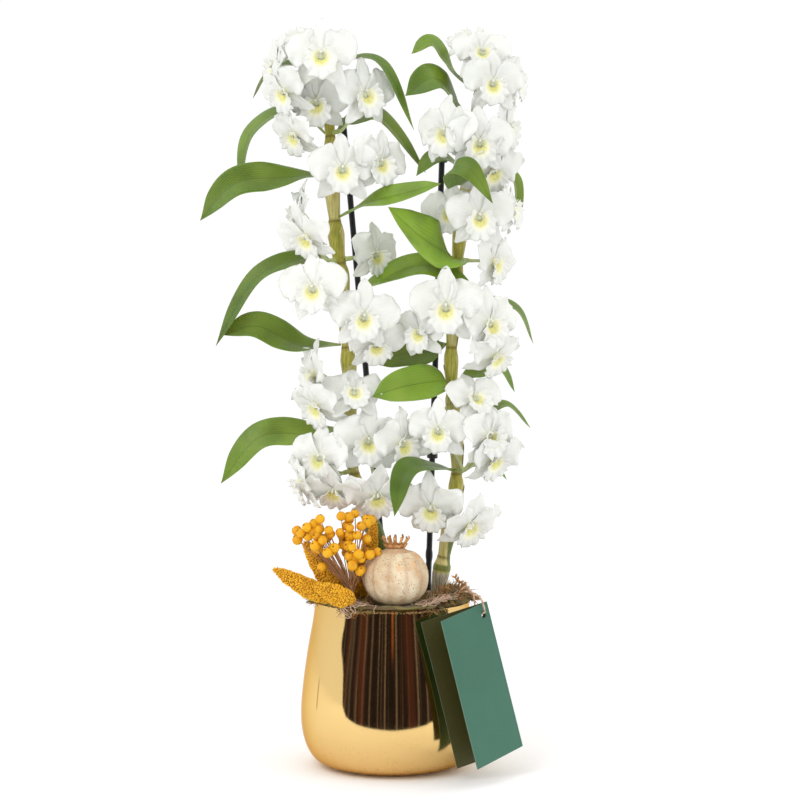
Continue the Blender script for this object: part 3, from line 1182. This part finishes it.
def tepal(rng, turn, length, width, bend, broad):
    """One sepal or petal as a grid of points about the hub, facing +Z."""
    u = 1 - (1 - np.linspace(0, 1, TEPAL_ROWS)) ** 1.4
    u = u[:, None] * 0.9985
    v = np.linspace(-1, 1, TEPAL_COLUMNS)[None, :]
    if broad:
        outline = (0.24 + 0.76 * smooth(u / 0.48)) * (1 - u ** 3.4) ** 0.60
    else:
        outline = (0.46 + 0.54 * smooth(u / 0.42)) * (1 - u ** 2.1) ** 0.66
    turn = math.radians(turn + rng.uniform(-5, 5))
    length = length * rng.uniform(0.95, 1.04)
    start = HUB_RADIUS * 0.35
    scallop = 0.06 * np.sin(11 * u + rng.uniform(0, 6)) * (v > 0)
    scallop = scallop + 0.06 * np.sin(10 * u + rng.uniform(0, 6)) * (v < 0)
    scallop = scallop + 0.035 * np.sin(24 * u + rng.uniform(0, 6))
    half = width / 2 * outline * (1 + scallop * smooth(u / 0.3))
    reach = start + (length - start) * u
    ruffle = (3.1 if broad else 1.5) * rng.uniform(0.6, 1.3)
    phase, other = rng.uniform(0, FULL_TURN), rng.uniform(0, FULL_TURN)
    beat = rng.uniform(7.0, 11.0)
    wave = np.where(v > 0, np.sin(beat * u + phase), np.sin(beat * 1.1 * u + other))
    wave = wave + 0.4 * np.sin(beat * 2.3 * u + phase + other + (v > 0) * 2.0)
    z = (bend + rng.uniform(-2.5, 1.5)) * u ** 2 + ruffle * np.abs(v) ** 1.9 * smooth(u / 0.5) * wave
    z = z + (0.9 if broad else 1.3) * (v ** 2) * np.sin(math.pi * u) - (2.6 if broad else 1.2) * u ** 5
    z = z + 0.35 * np.cos(v * 9.0) * np.sin(math.pi * np.minimum(u * 1.1, 1.0))
    z = z + rng.uniform(-0.10, 0.12) * reach
    z = z + (0.5 if broad else -0.7)
    twist = rng.uniform(-0.16, 0.16) * u
    x = reach + 0 * v
    y = v * half
    y, z = y * np.cos(twist) - z * np.sin(twist), y * np.sin(twist) + z * np.cos(twist)
    x, y = x * math.cos(turn) - y * math.sin(turn), x * math.sin(turn) + y * math.cos(turn)
    return np.stack([x, y, z], axis=-1), u + 0 * v, v + 0 * u


def lip(rng):
    """The lip: rolled round the column at its base and spread into a frilled scoop, as a grid of points."""
    s = even(LIP_ROWS)
    turn = np.radians(np.linspace(-LIP_HALF_ANGLE, LIP_HALF_ANGLE, LIP_COLUMNS))[None, :]
    low = np.cos(turn / 2) ** 2
    phase, other = rng.uniform(0, FULL_TURN), rng.uniform(0, FULL_TURN)
    radius = 3.6 + 4.4 * s + (3.6 + 4.4 * low ** 2) * s ** 2.2
    radius = radius + s ** 4 * (1.1 * np.sin(9 * turn + phase) + 0.5 * np.sin(17 * turn + other))
    forward = 0.6 + (9.8 - 1.5 * low) * s - (3.4 * low ** 2) * s ** 4
    forward = forward + s ** 3 * (1.3 * np.sin(12 * turn + other) + 0.6 * np.sin(21 * turn + phase))
    down = -0.4 - 3.8 * s
    grid = np.stack([radius * np.sin(turn), down - radius * np.cos(turn), forward], axis=-1)
    throat = smooth((0.86 - s) / 0.62) * (0.55 + 0.45 * low)
    return grid, throat, turn / math.radians(LIP_HALF_ANGLE) + 0 * s


def add_bloom(piece, rng, hub, azimuth, elevation, roll, size, end, out):
    turned = bloom_frame(azimuth, elevation, roll)
    hub = vec(*hub)
    tone = rng.uniform(0.0, 1.0)
    for turn, length, width, bend, broad in TEPALS:
        grid, u, v = tepal(rng, turn, length, width, bend, broad)
        thick = 0.62 - 0.30 * np.abs(v) ** 3 + 0.5 * (1 - u) ** 3
        green = np.clip(0.55 - u * 2.6, 0, 1) * (0.7 if broad else 1.0)
        piece.add(moved(shell(grid, thick), hub, turned, size), across=v, throat=np.clip(0.25 - u, 0, 1),
                  stem=green * 0.5, tone=np.clip(tone + rng.uniform(-0.3, 0.3), 0, 1))
    grid, throat, v = lip(rng)
    scoop = shell(grid, 0.6 - 0.25 * np.abs(v) ** 4)
    piece.add(moved(scoop, hub, turned, size), across=v * 1.5, throat=throat, tone=tone)
    column = tube([(0, y, z) for y, z, _ in BLOOM_COLUMN], [radius for _, _, radius in BLOOM_COLUMN], 12)
    piece.add(moved(column, hub, turned, size), throat=0.04, tone=tone, stem=0.05)
    back = moved(ball(8, 16), vec(0, 0, -0.9), scale=vec(HUB_RADIUS * 0.8, HUB_RADIUS * 0.8, 2.1))
    piece.add(moved(back, hub, turned, size), stem=0.55, tone=tone)
    facing = turned[:, 2]
    start = hub - facing * 0.4 * size
    lead = min(PEDICEL_LEAD, np.linalg.norm(end - start) * 0.4)
    t = even(16)
    line = start * (1 - t) ** 3 + (start - facing * lead) * 3 * t * (1 - t) ** 2
    line = line + (end + out * lead) * 3 * t * t * (1 - t) + end * t ** 3
    t = t[:, 0]
    radii = PEDICEL_RADIUS * (1.0 + 0.9 * np.exp(-t * 7) + 0.25 * np.exp(-(1 - t) * 9))
    green = np.append(0.55 + 0.35 * np.repeat(t, 12), [0.6, 0.9])
    piece.add(tube(line, radii, 12), stem=green, tone=tone)


def build_spray(number, side, joint, blooms, material):
    rng = random.Random(SEED * 17 + number)
    middle = sum(vec(*bloom[0]) for bloom in blooms) / len(blooms)
    base, out = grow_from(side, joint, middle)
    end = base + out * PEDUNCLE_LENGTH
    piece = Piece("across", "throat", "stem", "tone")
    line = base + out * np.linspace(-0.4, PEDUNCLE_LENGTH, 8)[:, None]
    piece.add(tube(line, [1.9, 2.3, 2.0, 1.9, 2.15, 1.9, 1.8, 1.4], 14), stem=1.0)
    for index, bloom in enumerate(blooms):
        add_bloom(piece, rng, *bloom, end - out * (PEDICEL_SINK + PEDICEL_STAGGER * index), out)
    piece.make("bloom_spray_%02d_flowers" % number, material, "petal", ["bloom_spray_%02d" % number])


# Dried trimmings

def build_poppy():
    piece = Piece("blush", "ridge", "crown")
    turn = np.linspace(0, math.pi, POPPY_ROWS)
    profile = np.stack([POPPY_RADIUS * np.sin(turn) ** 0.9, POPPY_HALF * np.cos(turn)], axis=-1)
    profile[0, 0] = profile[-1, 0] = 0.0
    verts, quads, tris = lathe(profile, POPPY_SEGMENTS)
    angle = np.arctan2(verts[:, 1], verts[:, 0])
    height = verts[:, 2] / POPPY_HALF
    belt = np.sqrt(np.clip(1 - height ** 2, 0, 1))
    ribs = np.abs(np.sin(angle * 5.5 + 0.4)) ** 0.6
    swell = 1.0 - 0.055 * (1 - ribs) * belt + 0.03 * lumps(verts, 0.045) + 0.010 * lumps(verts, 0.3)
    verts[:, :2] *= (swell * (1 + 0.02 * np.cos(angle + 1)))[:, None]
    verts[:, 2] += 1.2 * smooth((height - 0.80) / 0.2) - 2.2 * np.exp(-((height - 0.93) / 0.05) ** 2)
    blush = smooth((np.cos(angle + 0.9) * 0.9 + height * 0.9 - 0.75) / 0.5)
    blush += 0.35 * smooth((np.cos(angle - 3.6) + height - 1.1) / 0.5)
    ridge = (1 - ribs) * belt + smooth((height - 0.85) / 0.1) * 0.6
    piece.add(moved((verts, quads, tris), vec(*POPPY_CENTRE)), blush=np.clip(blush, 0, 1),
              ridge=np.clip(ridge, 0, 1))
    top = vec(*POPPY_CENTRE) + vec(0, 0, POPPY_HALF)
    verts, quads, tris = lathe(CROWN_CUP, CROWN_SEGMENTS)
    swirl = np.arctan2(verts[:, 1], verts[:, 0])
    verts[:, 2] += 0.5 * np.cos(swirl * CROWN_RAYS) * np.hypot(verts[:, 0], verts[:, 1]) / 9.0
    piece.add(moved((verts, quads, tris), top), crown=1.0)
    rng = random.Random(SEED + 5)
    for turn in turns(CROWN_RAYS):
        aim = level(turn + rng.uniform(-0.08, 0.08))
        tall = rng.uniform(8.4, 10.2)
        reach = CROWN_RADIUS * rng.uniform(0.9, 1.02)
        share = even(12)
        line = top + aim * (CROWN_NECK - 3.5 + (reach - CROWN_NECK + 3.5) * share ** 0.75)
        line = line + vec(0, 0, 1) * (0.2 + tall * share ** 1.25)
        line = line - aim * 2.0 * smooth((share - 0.8) / 0.2)
        radii = 1.15 * (0.7 + 0.35 * np.sin(share * 2.6)) * np.where(share > 0.93, 0.6, 1.0)
        piece.add(tube(line, radii * np.array(RAY_SECTION), len(RAY_SECTION)), crown=1.0)
    x, y, _ = POPPY_CENTRE
    piece.add(tube([(x, y, 126.0), (x, y, 134.0), (x, y, 142.0)], [2.5, 2.5, 2.8], 16), crown=0.6)
    piece.make("poppy_head_dried", poppy_finish(), "dried_head", ["poppy_head"])


def build_berries():
    rng = random.Random(SEED + 6)
    piece = Piece("stem", "dimple", "tone")
    foot, fork = vec(*BUNCH_FOOT), vec(*BUNCH_FORK)
    stem = tube(foot + (fork - foot) * even(10), BUNCH_STEM_RADIUS * np.linspace(1.0, 0.8, 10), 14)
    piece.add(stem, stem=1.0)
    centres = [vec(*berry) for berry in BERRIES]
    behind = [centre + vec(rng.uniform(-7, 7), rng.uniform(3, 9), rng.uniform(-7, 5)) for centre in centres]
    behind += [centre + vec(rng.uniform(-5, 8), rng.uniform(4, 12), rng.uniform(-14, -5))
               for centre in centres[::2]]
    for index, centre in enumerate(centres + behind):
        start = foot + (fork - foot) * (0.72 + 0.26 * (index % 5) / 4)
        add_berry(piece, rng, centre, start, index)
    piece.make("berry_bunch_fruits", berry_finish(), "berry", ["berry_bunch"])


def add_berry(piece, rng, centre, start, index):
    """One berry on its thin stem, with five small teeth round the pit at its far end."""
    share = even(12)
    bow = vec(rng.uniform(-2, 2), rng.uniform(-1, 1.5), rng.uniform(0, 2.5))
    line = start + (centre - start) * share + bow * np.sin(share * math.pi)
    piece.add(tube(line, 0.42 + 0.35 * np.exp(-share[:, 0] * 6), 7), stem=1.0)
    verts, quads, tris = ball(14, 20)
    pit = np.exp(-((1 - verts[:, 2]) / 0.022))
    radius = 1.0 - 0.13 * pit + 0.025 * lumps(verts * 2.0 + index, 0.6)
    size = BERRY_RADIUS * rng.uniform(0.94, 1.20)
    verts = verts * radius[:, None] * size * vec(1.0, 1.0, 0.96)
    aim = unit((centre - start) * 0.6 + vec(rng.gauss(0, 16), rng.gauss(-6, 12), rng.gauss(0, 14)))
    turned = turned_to(aim)
    piece.add(moved((verts, quads, tris), centre, turned), dimple=np.clip(pit * 1.2, 0, 1), tone=rng.random())
    tip = centre + aim * size * 0.86
    for turn in turns(5):
        side = turned @ level(turn)
        tooth = [tip, tip + side * 0.7 + aim * 0.45, tip + side * 1.05 + aim * 0.25]
        piece.add(tube(tooth, [0.28, 0.2, 0.05], 4), dimple=1.0)


def build_spike(number, foot, tip, radius, material):
    rng = random.Random(SEED * 5 + number)
    start, end = vec(*foot), vec(*tip)
    run = unit(end - start)
    length = np.linalg.norm(end - start)
    first = unit(np.cross(run, (0.0, 1.0, 0.0)))
    other = np.cross(run, first)
    sag = vec(0, 0, -1) * length * 0.03
    piece = Piece("tone", "deep")

    def centre(share):
        return start + run * length * share + sag * math.sin(math.pi * share)

    def girth(share):
        return radius * math.sin(math.pi * min(max(share, 0.0), 1.0) ** 0.75) ** 0.6

    def outward_at(turn):
        return first * math.cos(turn) + other * math.sin(turn)

    shares = np.linspace(0.0, 1.0, 30)
    core = tube([centre(share) for share in shares], [max(girth(share) * 0.86, 0.3) for share in shares], 16)
    piece.add(core, tone=0.2, deep=1.0)
    grain = ball(4, 6)
    up = grain[0][:, 2]
    along = 0.02
    while along < 0.995:
        around = girth(along)
        count = max(3, int(2 * math.pi * around / GRAIN_SPACING))
        offset = rng.uniform(0, FULL_TURN)
        for index in range(count):
            turn = offset + (index + rng.uniform(-0.25, 0.25)) * 2 * math.pi / count
            share = along + rng.uniform(-0.4, 0.4) * GRAIN_SPACING / length
            side = outward_at(turn)
            swell = 1 + 0.22 * noise(Vector(centre(share) + side * around) * 0.14)
            at = centre(share) + side * (girth(share) * 0.9 * swell)
            size = vec(0.85, 0.85, 1.25) * rng.uniform(0.75, 1.15)
            turned = turned_to(unit(side + run * 0.7))
            tone = np.clip(0.5 + 0.5 * up + rng.uniform(-0.25, 0.25), 0, 1)
            piece.add(moved(grain, at, turned, size), tone=tone, deep=np.clip(-up, 0, 1) * 0.6)
        along += GRAIN_SPACING * 0.86 / length
    for _ in range(SPIKE_HAIRS):
        share = rng.uniform(0.05, 1.0)
        side = outward_at(rng.uniform(0, FULL_TURN))
        at = centre(share) + side * girth(share) * 0.85
        aim = unit(side * 0.8 + run * 0.9 + vec(rng.gauss(0, 0.3), rng.gauss(0, 0.3), rng.gauss(0, 0.3)))
        line = at + aim * np.linspace(0, rng.uniform(1.2, 3.4), 3)[:, None]
        piece.add(tube(line, [0.18, 0.14, 0.04], 3), tone=0.9)
    piece.make("yellow_spike_%d_grains" % number, material, "dyed_grain", ["yellow_spike_%d" % number])


# Tag and twine

def tag_runs():
    """The card's directions: down its fold, out along each leaf, and from the front leaf to the back one."""
    down = unit(vec(*TAG_DOWN))
    front, back = (unit(vec(*run) - down * (vec(*run) @ down)) for run in (TAG_FRONT_RUN, TAG_BACK_RUN))
    return down, front, back, np.cross(down, unit(front + back))


def tag_hole():
    down, front, back, _ = tag_runs()
    return vec(*TAG_FOLD_TOP) + down * TAG_HOLE_DOWN + (front + back) * TAG_HOLE_IN / 2


def tag_line():
    """The card's top edge, from the front leaf's free corner round the fold to the back leaf's."""
    _, front, back, behind = tag_runs()
    top = vec(*TAG_FOLD_TOP)
    rear = top + behind * TAG_FOLD_GAP
    shares = np.maximum(np.linspace(0.0, 1.0, TAG_COLUMNS) ** 1.6, 0.03)
    shares = np.insert(shares, -1, 0.992)
    front_leaf = [top + front * TAG_WIDTH * share for share in shares[::-1]]
    middle = top + behind * TAG_FOLD_GAP / 2 + (front + back) * -0.15
    fold = [top + front * 0.9, middle + front * 0.25 - behind * 0.25,
            middle + back * 0.25 + behind * 0.25, rear + back * 0.9]
    back_leaf = [rear + back * TAG_WIDTH * share for share in shares]
    return np.array(front_leaf[:-1] + fold + back_leaf[1:])


def build_tag():
    down, _, _, behind = tag_runs()
    line = tag_line()
    v = np.insert(np.linspace(0, 1, TAG_ROWS - 1) ** 1.7, -1, 0.996)[None, :]
    u = np.linspace(-1, 1, len(line))[:, None]
    bow = 0.8 * np.sin(v * math.pi) * np.abs(u) ** 1.5 * np.sign(u) + 0.5 * np.sin(v * 5.0) * u ** 2
    grid = line[:, None] + down * (v[..., None] * TAG_LENGTH) + behind * (-bow * 0.5)[..., None]
    grid, in_hole = open_hole(grid, behind)
    verts, quads, _ = shell(grid, TAG_THICKNESS)
    count = in_hole.size
    normal = np.cross(np.gradient(grid, axis=0), np.gradient(grid, axis=1))[5, TAG_ROWS // 2]
    inside = np.repeat((0.0, 1.0) if normal @ -behind > 0 else (1.0, 0.0), count)
    rim = np.zeros(in_hole.shape)
    rim[[0, -1]] = 1.0
    rim[:, [0, -1]] = 1.0
    piece = Piece("inside", "edge")
    piece.add((verts, cut_hole(quads, in_hole.ravel(), count), None), inside=inside,
              edge=np.tile(rim.ravel(), 2) * (1 - inside) * 0.3)
    piece.make("hang_tag_card", card_finish(), "card", ["hang_tag"])


def open_hole(grid, behind):
    """Move the points next to the hole onto its edge, and tell which points are inside it."""
    flat = grid - tag_hole()
    flat = flat - (flat @ behind)[..., None] * behind
    distance = np.linalg.norm(flat, axis=-1)
    inside = distance < TAG_HOLE_RADIUS * 0.8
    beside = np.zeros_like(inside)
    for step in (-1, 0, 1):
        for other in (-1, 0, 1):
            beside |= np.roll(inside, (step, other), axis=(0, 1))
    beside &= ~inside
    shift = np.where(beside, TAG_HOLE_RADIUS / np.maximum(distance, 1e-6) - 1.0, 0.0)
    return grid + flat * shift[..., None], inside


def cut_hole(quads, inside, count):
    """Take out the faces with a corner inside the hole, and wall the cut from face to face."""
    gone = inside[quads % count].any(axis=1)
    edges = {}
    for quad in quads[gone & (quads < count).all(axis=1)]:
        for a, b in zip(quad, np.roll(quad, -1)):
            pair = (min(a, b), max(a, b))
            edges[pair] = edges.get(pair, 0) + 1
    wall = [(a, b, b + count, a + count) for (a, b), uses in edges.items() if uses == 1]
    return np.vstack([quads[~gone], np.array(wall)])


def twine_route():
    down, _, _, behind = tag_runs()
    hang = tag_hole() - down * (TAG_HOLE_RADIUS - TWINE_RADIUS - GAP)
    return [vec(54, -26, 140), vec(59, -33, 149), vec(66, -40, 148), hang + behind * 6 - down * 6,
            hang + behind * 3.5, hang, hang - behind * 4.5 - down * 1, hang - behind * 5 - down * 8,
            hang - behind * 2 - down * 14, hang + behind * 6 - down * 17, vec(60, -37, 154),
            vec(50, -28, 142)]


def build_twine():
    rng = random.Random(SEED + 8)
    corners = twine_route()
    line = np.array([curve_through(corners, index / TWINE_STEPS) for index in range(TWINE_STEPS + 1)])
    run, first, other = frames(line)
    walked = np.concatenate([[0], np.cumsum(np.linalg.norm(np.diff(line, axis=0), axis=1))])
    piece = Piece()
    for start in turns(3):
        turn = (walked * 1.7 + start)[:, None]
        ply = line + (first * np.cos(turn) + other * np.sin(turn)) * TWINE_RADIUS * 0.48
        piece.add(tube(ply, TWINE_RADIUS * 0.56, 7))
    for _ in range(TWINE_HAIRS):
        at = rng.randrange(2, len(line) - 2)
        turn = rng.uniform(0, FULL_TURN)
        side = first[at] * math.cos(turn) + other[at] * math.sin(turn)
        aim = unit(side + run[at] * rng.uniform(-1, 1))
        length = rng.uniform(0.8, 2.4)
        hair = line[at] + side * TWINE_RADIUS * 0.7 + aim * np.linspace(0, length, 4)[:, None]
        hair = hair + run[at] * even(4) ** 2 * rng.uniform(-0.8, 0.8)
        piece.add(tube(hair, [0.06, 0.05, 0.04, 0.02], 3))
    piece.make("twine_tie", twine_finish(), "twine", ["twine"])


# Whole scene

def build_each(build, rows, material):
    for number, row in enumerate(rows, 1):
        build(number, *row, material)


build_stage()
build_pot()
build_moss()
build_wool()
for side in ("left", "right"):
    build_cane(side)
build_stakes()
build_clips()
build_each(build_leaf, LEAVES, leaf_finish())
build_each(build_spray, SPRAYS, petal_finish())
build_poppy()
build_berries()
build_each(build_spike, SPIKES, grain_finish())
build_tag()
build_twine()
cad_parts["substrate"].data.materials.clear()
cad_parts["substrate"].data.materials.append(peat_finish())
